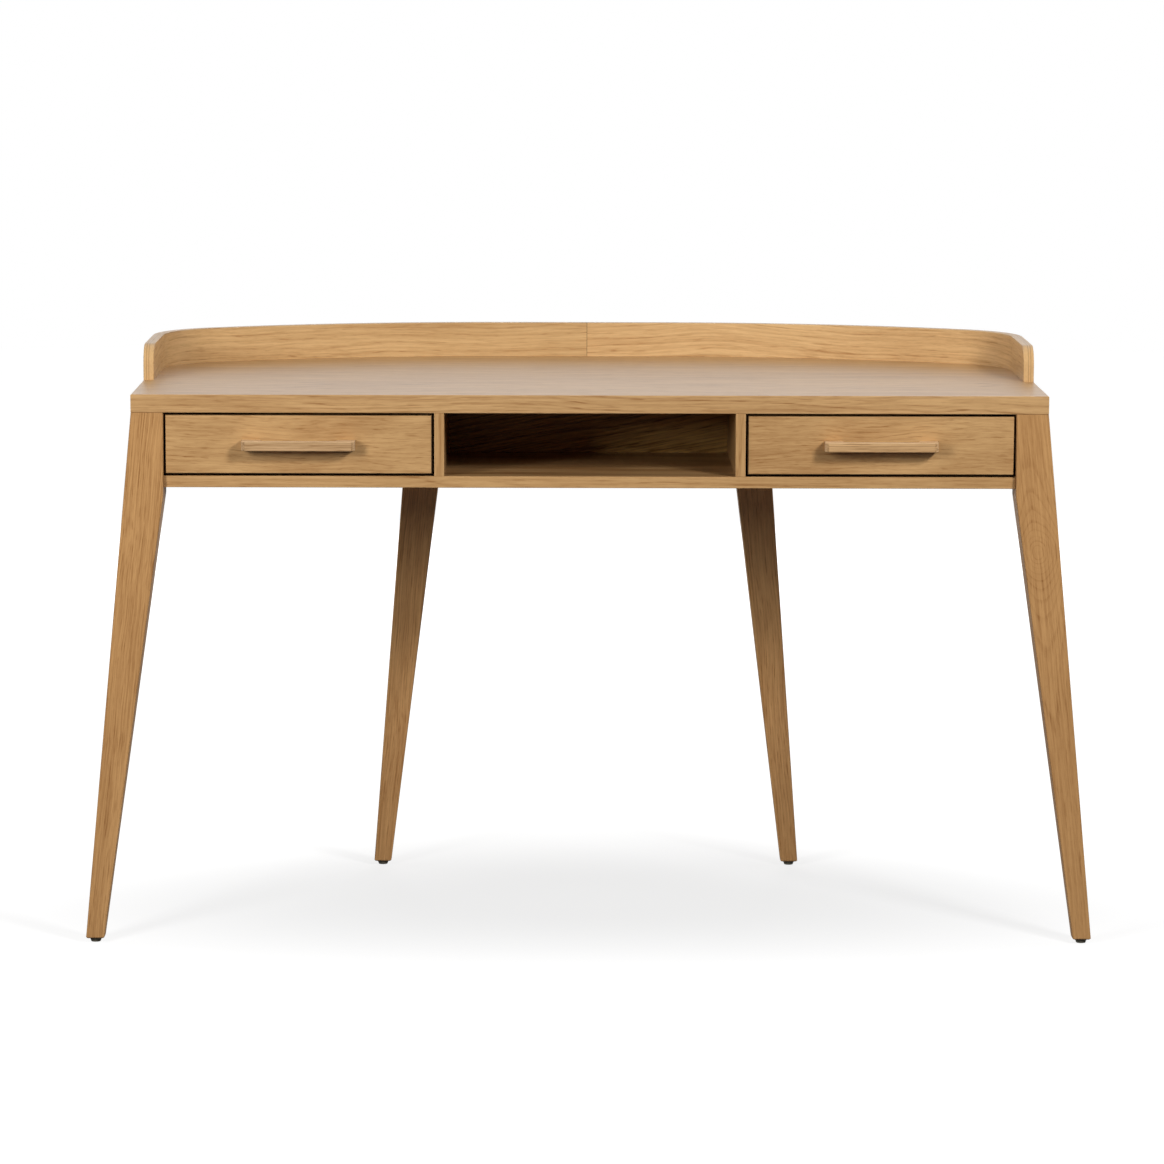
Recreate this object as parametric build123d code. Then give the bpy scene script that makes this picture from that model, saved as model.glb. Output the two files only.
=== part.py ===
from build123d import *

import math
import os

# Writing desk: a bowed top with a low gallery rail, two drawers beside an open cubby, four splayed legs.
# X runs along the front, Y from the front face to the back and Z up from the floor, in millimetres.
# The pieces are drawn with Y = 0 on the front face and are written with the origin under the middle.

# Desktop
TOP_WIDTH = 1275.0
TOP_DEPTH = 610.0
TOP_THICKNESS = 25.5
TOP_HEIGHT = 762.0
CORNER_RADIUS = 138.0
SHOULDER_RADIUS = 940.0
BACK_FLAT = 240.0
TOP_EASE = 1.5

# Gallery rail
GALLERY_THICKNESS = 15.0
GALLERY_HEIGHT = 50.5
GALLERY_START = 209.0
GALLERY_NOSE_RADIUS = 28.0
GALLERY_REBATE = 4.0
GALLERY_EASE = 1.2

# Legs and glides
LEG_TOP = 45.0
KNEE_HEIGHT = 621.0
FOOT_WIDTH = 25.5
FOOT_CHAMFER = 1.5
FRONT_SPLAY = 0.088
REAR_SPLAY = 0.080
LEG_ROUND = 2.0
REAR_LEG_BACK = 440.0
GLIDE_HEIGHT = 6.0
GLIDE_TOP_DIAMETER = 18.0
GLIDE_FOOT_DIAMETER = 13.0
GLIDE_PIN_DIAMETER = 6.0
GLIDE_PIN_LENGTH = 16.0

# Case under the top
OPENING_HEIGHT = 88.0
PANEL = 16.0
DIVIDER = 14.0
BACK_PANEL = 12.0
CUBBY_WIDTH = 405.0
CUBBY_DEPTH = 302.0
REAR_RAIL_HEIGHT = 64.0
CLEAT = 18.0
CLEAT_GAP = 3.0
PANEL_EASE = 0.8

# Drawers
FRONT_GAP_X = 3.0
FRONT_GAP_Z = 3.2
FRONT_THICKNESS = 16.0
FRONT_EASE = 1.0
BOX_LENGTH = 264.0
BOX_LIFT = 6.0
BOX_HEIGHT = 58.0
BOX_WALL = 12.0
BOX_FLOOR = 6.0
FLOOR_LIFT = 6.0
GROOVE_DEPTH = 6.0
GROOVE_PLAY = 0.15

# Handles
HANDLE_LENGTH = 157.0
HANDLE_HEIGHT = 13.5
HANDLE_REACH = 25.0
HANDLE_BAR = 10.5
HANDLE_FOOT = 24.0
HANDLE_FLARE = 4.0
HANDLE_CORNER = 5.0
HANDLE_INNER_CORNER = 4.0
HANDLE_EASE = 1.2

# Runners: three nested channels between the case wall and the drawer side
RUNNER_WIDTH = 12.7
RUNNER_LENGTH = 250.0
RUNNER_START = 20.0
SHEET = 1.2
CABINET_RAIL_HEIGHT = 35.0
CABINET_RAIL_DEPTH = 10.5
MIDDLE_RAIL_HEIGHT = 27.2
MIDDLE_RAIL_WEB = 3.6
MIDDLE_RAIL_EDGE = 11.0
DRAWER_RAIL_HEIGHT = 19.4
DRAWER_RAIL_EDGE = 6.3

# Fasteners
HOLE_PLAY = 0.2
DOWEL_DIAMETER = 8.0
DOWEL_LENGTH = 30.0
SMALL_DOWEL_DIAMETER = 6.0
SMALL_DOWEL_LENGTH = 24.0
SCREW_DIAMETER = 4.0
SCREW_HEAD_DIAMETER = 8.0
SCREW_HEAD_HEIGHT = 2.4
SCREW_LENGTH = 28.0
GALLERY_SCREW_LENGTH = 36.0
GALLERY_COUNTERBORE = 8.0
RUNNER_SCREW_DIAMETER = 3.5
RUNNER_SCREW_HEAD_DIAMETER = 7.0
RUNNER_SCREW_HEAD_HEIGHT = 1.6
RUNNER_SCREW_LENGTH = 10.0
BOLT_DIAMETER = 6.0
BOLT_HEAD_DIAMETER = 14.0
BOLT_HEAD_HEIGHT = 4.0
BOLT_LENGTH = 40.0
BOLT_SOCKET = 4.0
INSERT_DIAMETER = 10.0
INSERT_LENGTH = 20.0
CAM_DIAMETER = 15.0
CAM_DEPTH = 12.5
CAM_SETBACK = 24.0
CAM_BOLT_DIAMETER = 6.0
CAM_BOLT_GRIP = 12.0
CAM_BOLT_SHORT = 4.0
CAM_SLOT_DEPTH = 2.0
CAM_SLOT_LENGTH = 9.0
CAM_SLOT_WIDTH = 1.6

# Where the fasteners sit
GALLERY_SCREW_FRONT = 26.0
GALLERY_SCREW_BACK = 10.0
CLEAT_SCREW_SPREAD = 130.0
PANEL_DOWEL_SEAT = 20.0
FLOOR_DOWEL_SEAT = 10.0
SIDE_DOWELS_Y = (120.0, 260.0)
DIVIDER_DOWELS_Y = (60.0, 240.0)
DIVIDER_TOP_DOWEL_Y = 110.0
BACK_DOWEL_RISE = 20.0
BACK_DOWEL_DROP = 26.0
BACK_DOWEL_STAGGER = 9.0
DIVIDER_DOWEL_SEAT = 6.0
SIDE_DOWEL_SEAT = 8.0
BOLT_BEHIND_FACE = 14.0
BOLT_RISE = 24.0
BOLT_DROP = 28.0
RUNNER_SCREW_FRONT = 45.0
RUNNER_SCREW_BACK = 35.0
BOX_DOWEL_RISE = 21.0
BOX_DOWEL_DROP = 10.0
FRONT_DOWEL_SEAT = 10.0
BOX_DOWEL_SEAT = 4.0

# Worked out from the sizes above
HALF = TOP_WIDTH / 2
UNDERSIDE = TOP_HEIGHT - TOP_THICKNESS
CASE_HALF = HALF - LEG_TOP
CASE_FLOOR = UNDERSIDE - OPENING_HEIGHT
CASE_BASE = CASE_FLOOR - PANEL
CASE_BACK = CUBBY_DEPTH + BACK_PANEL
CUBBY_HALF = CUBBY_WIDTH / 2
DIVIDER_FACE = CUBBY_HALF + DIVIDER
REAR_LEG_FRONT = REAR_LEG_BACK - LEG_TOP
BAY_CENTRE = (DIVIDER_FACE + CASE_HALF) / 2
BAY_HALF = (CASE_HALF - DIVIDER_FACE) / 2
BOX_HALF = BAY_HALF - RUNNER_WIDTH
BOX_BACK = FRONT_THICKNESS + BOX_LENGTH
BOX_BASE = CASE_FLOOR + BOX_LIFT
BOX_TOP = BOX_BASE + BOX_HEIGHT
FLOOR_BASE = BOX_BASE + FLOOR_LIFT
FRONT_BASE = CASE_FLOOR + FRONT_GAP_Z
FRONT_TOP = UNDERSIDE - FRONT_GAP_Z
RUNNER_MIDDLE = BOX_BASE + BOX_HEIGHT / 2
FOOT_END = GLIDE_HEIGHT + FOOT_CHAMFER
LEG_DROP = UNDERSIDE - FOOT_END
ORIGIN_Y = (TOP_DEPTH - FRONT_SPLAY * LEG_DROP) / 2

# From the straight side a corner arc runs into a wider shoulder arc, and that into the flat of the back.
CORNER_X = HALF - CORNER_RADIUS
SHOULDER_X = BACK_FLAT / 2
SHOULDER_Y = TOP_DEPTH - SHOULDER_RADIUS
SHOULDER_TURN = math.asin((CORNER_X - SHOULDER_X) / (SHOULDER_RADIUS - CORNER_RADIUS))
SIDE_STRAIGHT = SHOULDER_Y + (SHOULDER_RADIUS - CORNER_RADIUS) * math.cos(SHOULDER_TURN)

SIDES = {"left": -1, "right": 1}
UPWARD = (Align.CENTER, Align.CENTER, Align.MIN)
DOWNWARD = (Align.CENTER, Align.CENTER, Align.MAX)

parts = {}


def block(x0, x1, y0, y1, z0, z1):
    """Rectangular block between two opposite corners, given in either order."""
    middle = Pos((x0 + x1) / 2, (y0 + y1) / 2, (z0 + z1) / 2)
    return middle * Box(abs(x1 - x0), abs(y1 - y0), abs(z1 - z0))


def rod(start, direction, diameter, length):
    """Round rod that starts at a point and runs along a direction."""
    along = Plane(origin=start, z_dir=direction).location
    return along * Cylinder(diameter / 2, length, align=UPWARD)


def screw(start, direction, diameter, length, head_diameter, head_height):
    """Pan-head screw: the head stands behind the start point, the shank runs along the direction."""
    along = Plane(origin=start, z_dir=direction).location
    head = along * Cylinder(head_diameter / 2, head_height, align=DOWNWARD)
    return head + rod(start, direction, diameter, length)


def wood_screw(start, direction, length):
    return screw(start, direction, SCREW_DIAMETER, length, SCREW_HEAD_DIAMETER, SCREW_HEAD_HEIGHT)


def drill(node, start, direction, diameter, length):
    """Clearance hole in a piece."""
    parts[node] = parts[node] - rod(start, direction, diameter + HOLE_PLAY, length + HOLE_PLAY)


def dowel(start, direction, diameter, length, *nodes):
    """Wooden dowel between two pieces, both of them drilled for it."""
    for node in nodes:
        drill(node, start, direction, diameter, length)
    return rod(start, direction, diameter, length)


def eased_front(solid, radius):
    """Piece with the edges of its front face rounded over."""
    return fillet(solid.faces().sort_by(Axis.Y)[0].edges(), radius)


def plan(inset, front):
    """Plan of the top, drawn in from its edge by the inset and cut straight at the front."""
    half = HALF - inset
    back = TOP_DEPTH - inset
    shoulder_turn = math.degrees(SHOULDER_TURN)
    corner_turn = 90 - shoulder_turn
    edges = [
        Line((-half, front), (half, front)),
        Line((-SHOULDER_X, back), (SHOULDER_X, back)),
    ]
    for sign in SIDES.values():
        corner_start = 0 if sign > 0 else 180 - corner_turn
        shoulder_start = corner_turn if sign > 0 else 90
        edges += [
            Line((sign * half, front), (sign * half, SIDE_STRAIGHT)),
            CenterArc((sign * CORNER_X, SIDE_STRAIGHT), CORNER_RADIUS - inset, corner_start, corner_turn),
            CenterArc(
                (sign * SHOULDER_X, SHOULDER_Y), SHOULDER_RADIUS - inset, shoulder_start, shoulder_turn
            ),
        ]
    return Face(Wire(edges))


def edge_band(base, height):
    """Strip along the sides and back of the top, as wide as the gallery rail is thick."""
    strip = plan(0, GALLERY_START) - plan(GALLERY_THICKNESS, 0)
    return Pos(0, 0, base) * extrude(strip, height, dir=(0, 0, 1))


def desktop():
    slab = Pos(0, 0, UNDERSIDE) * extrude(plan(0, 0), TOP_THICKNESS, dir=(0, 0, 1))
    slab = fillet(slab.edges().filter_by(Plane.XY), TOP_EASE)
    return slab - edge_band(TOP_HEIGHT - GALLERY_REBATE, GALLERY_REBATE + 1)


def gallery_half():
    """Right half of the gallery rail, with its front top corner rounded."""
    base = TOP_HEIGHT - GALLERY_REBATE
    top = TOP_HEIGHT + GALLERY_HEIGHT
    half = edge_band(base, top - base) & block(0, TOP_WIDTH, 0, TOP_DEPTH + 1, base, top)
    nose = half.edges().filter_by(Axis.X).group_by(Axis.Z)[-1].sort_by(Axis.Y)[0]
    half = fillet(nose, GALLERY_NOSE_RADIUS)
    rims = [edge for edge in half.edges().group_by(Axis.Z)[-1] if edge.length > GALLERY_THICKNESS + 1]
    return fillet(rims, GALLERY_EASE)


def leg(inner_x, inner_y, back_sign, splay_x):
    """Right-hand leg: inner faces upright down to the knee, outer faces splayed from the top to the foot."""
    sections = []
    for height in (UNDERSIDE, KNEE_HEIGHT):
        drop = UNDERSIDE - height
        width = LEG_TOP + splay_x * drop
        depth = LEG_TOP + FRONT_SPLAY * drop
        centre = Pos(inner_x + width / 2, inner_y + back_sign * depth / 2, height)
        sections.append(centre * RectangleRounded(width, depth, LEG_ROUND))
    foot_x, foot_y = foot_centre(inner_x, inner_y, back_sign, splay_x)
    for height, trim in ((FOOT_END, 0), (GLIDE_HEIGHT, 2 * FOOT_CHAMFER)):
        foot = RectangleRounded(FOOT_WIDTH - trim, FOOT_WIDTH - trim, LEG_ROUND)
        sections.append(Pos(foot_x, foot_y, height) * foot)
    return loft(sections, ruled=True)


def foot_centre(inner_x, inner_y, back_sign, splay_x):
    """Middle of the foot of a leg, where its outer faces have splayed all the way down."""
    x = inner_x + LEG_TOP + splay_x * LEG_DROP - FOOT_WIDTH / 2
    y = inner_y + back_sign * (LEG_TOP + FRONT_SPLAY * LEG_DROP - FOOT_WIDTH / 2)
    return x, y


def glide(x, y):
    """Tapered plastic foot with a pin that is pushed into the end of the leg."""
    cone = Pos(x, y, 0) * Cone(GLIDE_FOOT_DIAMETER / 2, GLIDE_TOP_DIAMETER / 2, GLIDE_HEIGHT, align=UPWARD)
    return cone + rod((x, y, 0), (0, 0, 1), GLIDE_PIN_DIAMETER, GLIDE_HEIGHT + GLIDE_PIN_LENGTH)


def case_panels():
    """Bottom, sides, dividers, backs, rear rail and cleats of the case under the top."""
    bottom = block(-CASE_HALF, CASE_HALF, 0, CASE_BACK, CASE_BASE, CASE_FLOOR)
    parts["bottom_panel"] = eased_front(bottom, PANEL_EASE)
    parts["back_panel_centre"] = block(-CUBBY_HALF, CUBBY_HALF, CUBBY_DEPTH, CASE_BACK, CASE_FLOOR, UNDERSIDE)
    rail_front = REAR_LEG_BACK - PANEL
    rail_base = UNDERSIDE - REAR_RAIL_HEIGHT
    parts["rear_rail"] = block(-CUBBY_HALF, CUBBY_HALF, rail_front, REAR_LEG_BACK, rail_base, UNDERSIDE)
    cleat_reach = CUBBY_HALF - CLEAT_GAP
    cleat_base = UNDERSIDE - CLEAT
    parts["top_cleat_centre"] = block(
        -cleat_reach, cleat_reach, CASE_BACK, CASE_BACK + CLEAT, cleat_base, UNDERSIDE
    )
    for side, sign in SIDES.items():
        outer = CASE_HALF + PANEL
        parts["side_panel_" + side] = block(
            sign * CASE_HALF, sign * outer, LEG_TOP, CASE_BACK, CASE_BASE, UNDERSIDE
        )
        front_run = block(sign * CUBBY_HALF, sign * DIVIDER_FACE, 0, CASE_BACK, CASE_FLOOR, UNDERSIDE)
        rear_run = block(
            sign * CUBBY_HALF, sign * DIVIDER_FACE, CASE_BACK, REAR_LEG_BACK, CASE_BASE, UNDERSIDE
        )
        parts["divider_" + side] = eased_front(front_run + rear_run, PANEL_EASE)
        parts["back_panel_" + side] = block(
            sign * DIVIDER_FACE, sign * CASE_HALF, CUBBY_DEPTH, CASE_BACK, CASE_FLOOR, UNDERSIDE
        )
        parts["top_cleat_" + side] = block(
            sign * (DIVIDER_FACE + CLEAT_GAP), sign * (CASE_HALF - CLEAT_GAP),
            CUBBY_DEPTH - CLEAT, CUBBY_DEPTH, cleat_base, UNDERSIDE,
        )


def legs_and_glides():
    stances = {
        "front_leg": (CASE_HALF, LEG_TOP, -1, FRONT_SPLAY),
        "rear_leg": (DIVIDER_FACE, REAR_LEG_FRONT, 1, REAR_SPLAY),
    }
    glides = []
    for name, stance in stances.items():
        x, y = foot_centre(*stance)
        pin_depth = GLIDE_HEIGHT + GLIDE_PIN_LENGTH + HOLE_PLAY
        right = leg(*stance) - rod((x, y, 0), (0, 0, 1), GLIDE_PIN_DIAMETER + HOLE_PLAY, pin_depth)
        parts[name + "_right"] = right
        parts[name + "_left"] = mirror(right, about=Plane.YZ)
        glides += [glide(x, y), glide(-x, y)]
    parts["foot_glides"] = Compound(glides)


def top_and_gallery():
    parts["desktop"] = desktop()
    right = gallery_half()
    parts["gallery_rail_right"] = right
    parts["gallery_rail_left"] = mirror(right, about=Plane.YZ)


def gallery_fixings():
    """Screws that come up through the desktop into the gallery rail."""
    middle = GALLERY_THICKNESS / 2
    corner = (math.pi / 2 - SHOULDER_TURN) / 2
    reach = CORNER_RADIUS - middle
    shoulder = SHOULDER_TURN / 2
    span = SHOULDER_RADIUS - middle
    spots = [
        (HALF - middle, GALLERY_START + GALLERY_SCREW_FRONT),
        (HALF - middle, SIDE_STRAIGHT - GALLERY_SCREW_BACK),
        (CORNER_X + reach * math.cos(corner), SIDE_STRAIGHT + reach * math.sin(corner)),
        (SHOULDER_X + span * math.sin(shoulder), SHOULDER_Y + span * math.cos(shoulder)),
        (SHOULDER_X / 2, TOP_DEPTH - middle),
    ]
    seat = UNDERSIDE + GALLERY_COUNTERBORE
    upward = (0, 0, 1)
    screws = []
    for side, sign in SIDES.items():
        for x, y in spots:
            start = (sign * x, y, seat)
            mouth = (sign * x, y, UNDERSIDE - 1)
            drill("desktop", mouth, upward, SCREW_HEAD_DIAMETER, GALLERY_COUNTERBORE + 1)
            drill("desktop", start, upward, SCREW_DIAMETER, GALLERY_SCREW_LENGTH)
            drill("gallery_rail_" + side, start, upward, SCREW_DIAMETER, GALLERY_SCREW_LENGTH)
            screws.append(wood_screw(start, upward, GALLERY_SCREW_LENGTH))
    parts["gallery_screws"] = Compound(screws)


def cleat_fixings():
    """Screws up through each cleat into the top, and back or forward through it into a back panel."""
    bays = {"left": -BAY_CENTRE, "centre": 0, "right": BAY_CENTRE}
    screws = []
    for bay, x in bays.items():
        behind = bay == "centre"
        cleat_middle = CASE_BACK + CLEAT / 2 if behind else CUBBY_DEPTH - CLEAT / 2
        face = CASE_BACK + CLEAT if behind else CUBBY_DEPTH - CLEAT
        across = (0, -1, 0) if behind else (0, 1, 0)
        for offset in (-CLEAT_SCREW_SPREAD, CLEAT_SCREW_SPREAD):
            seats = [
                ((x + offset, cleat_middle, UNDERSIDE - CLEAT), (0, 0, 1), "desktop"),
                ((x + offset / 2, face, UNDERSIDE - CLEAT / 2), across, "back_panel_" + bay),
            ]
            for start, direction, target in seats:
                drill("top_cleat_" + bay, start, direction, SCREW_DIAMETER, SCREW_LENGTH)
                drill(target, start, direction, SCREW_DIAMETER, SCREW_LENGTH)
                screws.append(wood_screw(start, direction, SCREW_LENGTH))
    parts["cleat_screws"] = Compound(screws)


def case_dowels():
    """Wooden dowels that locate the panels, the legs and the top on one another."""
    large = (DOWEL_DIAMETER, DOWEL_LENGTH)
    small = (SMALL_DOWEL_DIAMETER, SMALL_DOWEL_LENGTH)
    base_middle = CASE_BASE + PANEL / 2
    leg_middle = LEG_TOP / 2
    divider_middle = CUBBY_HALF + DIVIDER / 2
    back_middle = CUBBY_DEPTH + BACK_PANEL / 2
    up = (0, 0, 1)
    pins = []
    for side, sign in SIDES.items():
        divider = "divider_" + side
        outward = (sign, 0, 0)
        inward = (-sign, 0, 0)
        front_leg = "front_leg_" + side
        rear_leg = "rear_leg_" + side
        side_panel = "side_panel_" + side
        end = sign * (CASE_HALF - PANEL_DOWEL_SEAT)
        pins.append(dowel((end, leg_middle, base_middle), outward, *large, "bottom_panel", front_leg))
        for y in SIDE_DOWELS_Y:
            pins.append(dowel((end, y, base_middle), outward, *large, "bottom_panel", side_panel))
        for y in DIVIDER_DOWELS_Y:
            start = (sign * divider_middle, y, CASE_FLOOR - FLOOR_DOWEL_SEAT)
            pins.append(dowel(start, up, *large, "bottom_panel", divider))
        for x, y, node in (
            (CASE_HALF + leg_middle, leg_middle, front_leg),
            (DIVIDER_FACE + leg_middle, REAR_LEG_BACK - leg_middle, rear_leg),
            (divider_middle, DIVIDER_TOP_DOWEL_Y, divider),
        ):
            start = (sign * x, y, UNDERSIDE - DOWEL_LENGTH / 2)
            pins.append(dowel(start, up, *large, "desktop", node))
        panel_middle = sign * (CASE_HALF + PANEL / 2)
        middle = CASE_FLOOR + OPENING_HEIGHT / 2
        start = (panel_middle, LEG_TOP - DOWEL_LENGTH / 2, middle)
        pins.append(dowel(start, (0, 1, 0), *large, front_leg, side_panel))
        low = CASE_FLOOR + BACK_DOWEL_RISE
        high = UNDERSIDE - BACK_DOWEL_DROP
        outer_back = "back_panel_" + side
        for z in (low, high):
            wall = sign * (DIVIDER_FACE - DIVIDER_DOWEL_SEAT)
            pins.append(dowel((wall, back_middle, z), outward, *small, divider, outer_back))
            wall = sign * (CASE_HALF + SIDE_DOWEL_SEAT)
            pins.append(dowel((wall, back_middle, z), inward, *small, side_panel, outer_back))
            wall = sign * (CUBBY_HALF + DIVIDER_DOWEL_SEAT)
            start = (wall, back_middle, z + BACK_DOWEL_STAGGER)
            pins.append(dowel(start, inward, *small, divider, "back_panel_centre"))
            rail_z = UNDERSIDE - REAR_RAIL_HEIGHT / 2 + (z - middle) / 2
            start = (wall, REAR_LEG_BACK - PANEL / 2, rail_z)
            pins.append(dowel(start, inward, *small, divider, "rear_rail"))
    parts["case_dowels"] = Compound(pins)


def rear_leg_fixings():
    """Bolts through the dividers into threaded inserts in the rear legs."""
    bolts = []
    inserts = []
    y = REAR_LEG_FRONT + BOLT_BEHIND_FACE
    for side, sign in SIDES.items():
        outward = (sign, 0, 0)
        for z in (CASE_BASE + BOLT_RISE, UNDERSIDE - BOLT_DROP):
            start = (sign * CUBBY_HALF, y, z)
            drill("divider_" + side, start, outward, BOLT_DIAMETER, DIVIDER)
            face = (sign * DIVIDER_FACE, y, z)
            drill("rear_leg_" + side, face, outward, INSERT_DIAMETER, BOLT_LENGTH - DIVIDER + 1)
            bolt = screw(start, outward, BOLT_DIAMETER, BOLT_LENGTH, BOLT_HEAD_DIAMETER, BOLT_HEAD_HEIGHT)
            head_end = Plane(origin=(sign * (CUBBY_HALF - BOLT_HEAD_HEIGHT), y, z), z_dir=outward)
            socket = extrude(head_end * RegularPolygon(BOLT_SOCKET / 2, 6), BOLT_HEAD_HEIGHT / 2)
            bolts.append(bolt - socket)
            sleeve = rod(face, outward, INSERT_DIAMETER, INSERT_LENGTH)
            inserts.append(sleeve - rod(face, outward, BOLT_DIAMETER + HOLE_PLAY, INSERT_LENGTH))
    parts["rear_leg_bolts"] = Compound(bolts)
    parts["rear_leg_inserts"] = Compound(inserts)


def front_leg_fixings():
    """Cam bolts in the back of the front legs, drawn tight by cam locks in the side panels."""
    bolts = []
    cams = []
    for side, sign in SIDES.items():
        x = sign * (CASE_HALF + PANEL / 2)
        for z in (CASE_FLOOR + CAM_DIAMETER / 2 + 1, UNDERSIDE - CAM_DIAMETER):
            start = (x, LEG_TOP - CAM_BOLT_GRIP, z)
            reach = CAM_BOLT_GRIP + CAM_SETBACK - CAM_BOLT_SHORT
            for node in ("front_leg_" + side, "side_panel_" + side):
                drill(node, start, (0, 1, 0), CAM_BOLT_DIAMETER, reach)
            bolts.append(rod(start, (0, 1, 0), CAM_BOLT_DIAMETER, reach))
            mouth = (sign * CASE_HALF, LEG_TOP + CAM_SETBACK, z)
            outward = (sign, 0, 0)
            drill("side_panel_" + side, mouth, outward, CAM_DIAMETER, CAM_DEPTH)
            cam = rod(mouth, outward, CAM_DIAMETER, CAM_DEPTH)
            cam = cam - rod(start, (0, 1, 0), CAM_BOLT_DIAMETER + HOLE_PLAY, reach + HOLE_PLAY)
            slot = Pos(mouth) * Box(2 * CAM_SLOT_DEPTH, CAM_SLOT_LENGTH, CAM_SLOT_WIDTH)
            cams.append(cam - slot)
    parts["cam_bolts"] = Compound(bolts)
    parts["cam_locks"] = Compound(cams)


def channel(wall, sign, web, edge, height):
    """Bent steel channel along the runner: a web at one depth from the wall and two flanges to another."""
    back = RUNNER_START + RUNNER_LENGTH
    low = RUNNER_MIDDLE - height / 2
    high = RUNNER_MIDDLE + height / 2
    web_edge = web + SHEET if edge > web else web - SHEET
    shape = block(wall + sign * web, wall + sign * web_edge, RUNNER_START, back, low, high)
    for base in (low, high - SHEET):
        shape += block(wall + sign * web, wall + sign * edge, RUNNER_START, back, base, base + SHEET)
    return shape


def runners(drawer, centre):
    """Both runners of a drawer, and the screws that hold their outer and inner channels."""
    drawer_screws = []
    case_screws = []
    case_walls = {
        "left": {"left": "side_panel_left", "right": "divider_left"},
        "right": {"left": "divider_right", "right": "side_panel_right"},
    }
    for side, side_sign in SIDES.items():
        wall = centre + side_sign * BAY_HALF
        inward = -side_sign
        label = drawer + "_drawer_" + side
        cabinet = label + "_cabinet_rail"
        inner = label + "_drawer_rail"
        parts[cabinet] = channel(wall, inward, 0, CABINET_RAIL_DEPTH, CABINET_RAIL_HEIGHT)
        parts[label + "_middle_rail"] = channel(
            wall, inward, MIDDLE_RAIL_WEB, MIDDLE_RAIL_EDGE, MIDDLE_RAIL_HEIGHT
        )
        parts[inner] = channel(wall, inward, RUNNER_WIDTH, DRAWER_RAIL_EDGE, DRAWER_RAIL_HEIGHT)
        for y in (RUNNER_START + RUNNER_SCREW_FRONT, RUNNER_START + RUNNER_LENGTH - RUNNER_SCREW_BACK):
            start = (wall + inward * SHEET, y, RUNNER_MIDDLE)
            case_screws.append(runner_screw(start, (side_sign, 0, 0), cabinet, case_walls[drawer][side]))
            start = (wall + inward * (RUNNER_WIDTH - SHEET), y, RUNNER_MIDDLE)
            drawer_screws.append(
                runner_screw(start, (inward, 0, 0), inner, drawer + "_drawer_" + side + "_side")
            )
    parts[drawer + "_drawer_runner_screws"] = Compound(drawer_screws)
    return case_screws


def runner_screw(start, direction, *nodes):
    for node in nodes:
        drill(node, start, direction, RUNNER_SCREW_DIAMETER, RUNNER_SCREW_LENGTH)
    return screw(
        start, direction, RUNNER_SCREW_DIAMETER, RUNNER_SCREW_LENGTH,
        RUNNER_SCREW_HEAD_DIAMETER, RUNNER_SCREW_HEAD_HEIGHT,
    )


def handle(x, z):
    """Bridge handle: a bar on two feet, cut from one piece, that leaves a gap for the fingers."""
    outer = HANDLE_LENGTH / 2
    inner = outer - HANDLE_FOOT
    bar_back = HANDLE_BAR - HANDLE_REACH
    outline = make_face(
        Polyline(
            (-outer, 0), (-outer, -HANDLE_REACH), (outer, -HANDLE_REACH), (outer, 0), (inner, 0),
            (inner - HANDLE_FLARE, bar_back), (HANDLE_FLARE - inner, bar_back), (-inner, 0), close=True,
        )
    )
    outline = chamfer(outline.vertices().group_by(Axis.Y)[0], HANDLE_CORNER)
    inner_corners = outline.vertices().filter_by(lambda vertex: abs(vertex.Y - bar_back) < 0.01)
    outline = fillet(inner_corners, HANDLE_INNER_CORNER)
    solid = extrude(outline, HANDLE_HEIGHT, dir=(0, 0, 1))
    rims = solid.edges().filter_by(Plane.XY).filter_by(lambda edge: edge.center().Y < bar_back - HANDLE_EASE)
    solid = fillet(rims, HANDLE_EASE)
    return Pos(x, 0, z - HANDLE_HEIGHT / 2) * solid


def drawer_box(drawer, centre):
    """Drawer front, sides, back and bottom, with the grooves that hold the bottom."""
    label = drawer + "_drawer_"
    front_half = BAY_HALF - FRONT_GAP_X
    front = block(centre - front_half, centre + front_half, 0, FRONT_THICKNESS, FRONT_BASE, FRONT_TOP)
    inside = BOX_HALF - BOX_WALL
    back_face = BOX_BACK - BOX_WALL
    floor_half = inside + GROOVE_DEPTH - GROOVE_PLAY
    floor_front = FRONT_THICKNESS - GROOVE_DEPTH + GROOVE_PLAY
    floor_back = back_face + GROOVE_DEPTH - GROOVE_PLAY
    groove = block(
        centre - inside - GROOVE_DEPTH, centre + inside + GROOVE_DEPTH,
        FRONT_THICKNESS - GROOVE_DEPTH, back_face + GROOVE_DEPTH,
        FLOOR_BASE - GROOVE_PLAY, FLOOR_BASE + BOX_FLOOR + GROOVE_PLAY,
    )
    parts[label + "front"] = eased_front(front, FRONT_EASE) - groove
    parts[label + "bottom"] = block(
        centre - floor_half, centre + floor_half, floor_front, floor_back, FLOOR_BASE, FLOOR_BASE + BOX_FLOOR
    )
    back = block(centre - inside, centre + inside, back_face, BOX_BACK, BOX_BASE, BOX_TOP)
    parts[label + "back"] = back - groove
    for side, sign in SIDES.items():
        wall = block(
            centre + sign * inside, centre + sign * BOX_HALF, FRONT_THICKNESS, BOX_BACK, BOX_BASE, BOX_TOP
        )
        parts[label + side + "_side"] = wall - groove


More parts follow.
